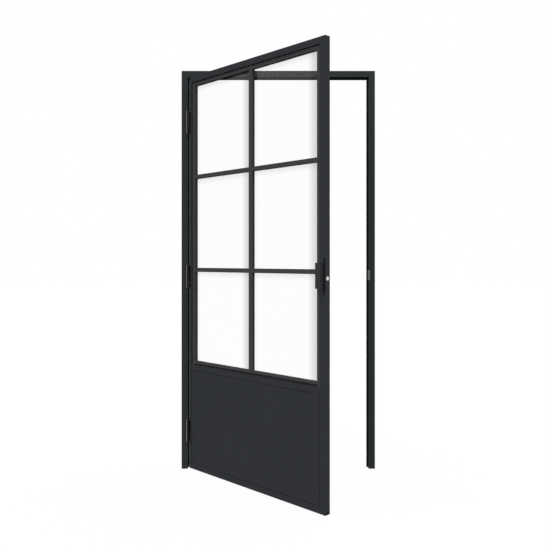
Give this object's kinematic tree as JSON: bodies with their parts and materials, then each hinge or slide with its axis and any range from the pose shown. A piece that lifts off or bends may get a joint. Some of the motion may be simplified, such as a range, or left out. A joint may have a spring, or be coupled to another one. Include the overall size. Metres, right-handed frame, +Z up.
{
  "type": "glass door",
  "caption": "Hinged steel-look glass door standing open in its own slim rebated frame, with glazing bars, a solid lower panel, a folded pull and a ball catch.",
  "frame": {"origin": "middle of the hinge jamb's foot, on the floor", "axes": "+X across the doorway from the hinge jamb to the lock jamb, +Y from the side the leaf opens to through the frame to the back, +Z up"},
  "size_m": [1, 0.7505, 2.057],
  "materials": {
    "frame_paint": "fine matt anthracite powder coat on steel",
    "leaf_paint": "fine matt anthracite powder coat on steel",
    "bead_paint": "satin anthracite powder coat on steel, a shade lighter",
    "hinge_paint": "glossy black coat on turned steel",
    "pull_paint": "fine matt anthracite powder coat on folded steel",
    "pane_glass": "clear toughened sheet",
    "gasket_rubber": "matt black",
    "glazing_tape": "matt black foam tape",
    "block_plastic": "hard plastic packers",
    "panel_core": "rigid foam board",
    "pin_steel": "ground",
    "strike_steel": "satin stainless",
    "screw_steel": "blackened",
    "catch_case": "satin nickel",
    "catch_ball": "polished nickel",
    "spring_steel": "drawn wire",
    "seal_aluminium": "black anodised",
    "seal_rubber": "matt black"
  },
  "bodies": {
    "frame": {"hinge_jamb": "frame_paint", "lock_jamb": "frame_paint", "head": "frame_paint", "gasket_hinge_side": "gasket_rubber", "gasket_lock_side": "gasket_rubber", "gasket_head": "gasket_rubber", "strike_plate": "strike_steel", "strike_screws": "screw_steel", "hinge_barrel_bottom_lower": "hinge_paint", "hinge_barrel_middle_lower": "hinge_paint", "hinge_barrel_top_lower": "hinge_paint", "hinge_pins": "pin_steel", "hinge_washers": "screw_steel"},
    "leaf": {"bar_lower_hinge_side": "bead_paint", "bar_lower_lock_side": "bead_paint", "bar_upper_hinge_side": "bead_paint", "bar_upper_lock_side": "bead_paint", "bar_upright": "bead_paint", "bead_bottom": "bead_paint", "bead_hinge_side": "bead_paint", "bead_lock_side": "bead_paint", "bead_top": "bead_paint", "bottom_rail": "leaf_paint", "catch_case": "catch_case", "catch_spring": "spring_steel", "cover_lower_hinge_side": "bead_paint", "cover_lower_lock_side": "bead_paint", "cover_upper_hinge_side": "bead_paint", "cover_upper_lock_side": "bead_paint", "cover_upright": "bead_paint", "drop_seal_channel": "seal_aluminium", "glass_lower_hinge_side": "pane_glass", "glass_lower_lock_side": "pane_glass", "glass_middle_hinge_side": "pane_glass", "glass_middle_lock_side": "pane_glass", "glass_upper_hinge_side": "pane_glass", "glass_upper_lock_side": "pane_glass", "glazing_tape_front": "glazing_tape", "glazing_tape_rear": "glazing_tape", "hinge_barrel_bottom_upper": "hinge_paint", "hinge_barrel_middle_upper": "hinge_paint", "hinge_barrel_top_upper": "hinge_paint", "hinge_stile": "leaf_paint", "lock_stile": "leaf_paint", "mid_rail": "leaf_paint", "panel_back_sheet": "leaf_paint", "panel_core": "panel_core", "panel_front_tray": "leaf_paint", "pull_handle": "pull_paint", "pull_screws": "screw_steel", "setting_blocks": "block_plastic", "top_rail": "leaf_paint"},
    "catch_ball": {"catch_ball": "catch_ball"},
    "drop_seal": {"drop_seal_bar": "seal_aluminium", "drop_seal_lip": "seal_rubber"}
  },
  "joints": [
    {"name": "leaf_swing", "type": "hinge", "parent": "frame", "child": "leaf", "pos_m": [0.0175, -0.0296, 0], "axis": [0, 0, -1], "range_deg": [-48, 122]},
    {"name": "catch_ball_press", "type": "slide", "parent": "leaf", "child": "catch_ball", "axis": [-0.6691, 0.7431, 0], "range_m": [0, 0.0034], "stiffness_N_per_m": 2000, "springref_m": -0.001, "deforming": ["catch_spring"]},
    {"name": "seal_drop", "type": "slide", "parent": "leaf", "child": "drop_seal", "axis": [0, 0, -1], "range_m": [0, 0.0065], "stiffness_N_per_m": 800, "springref_m": -0.006}
  ]
}
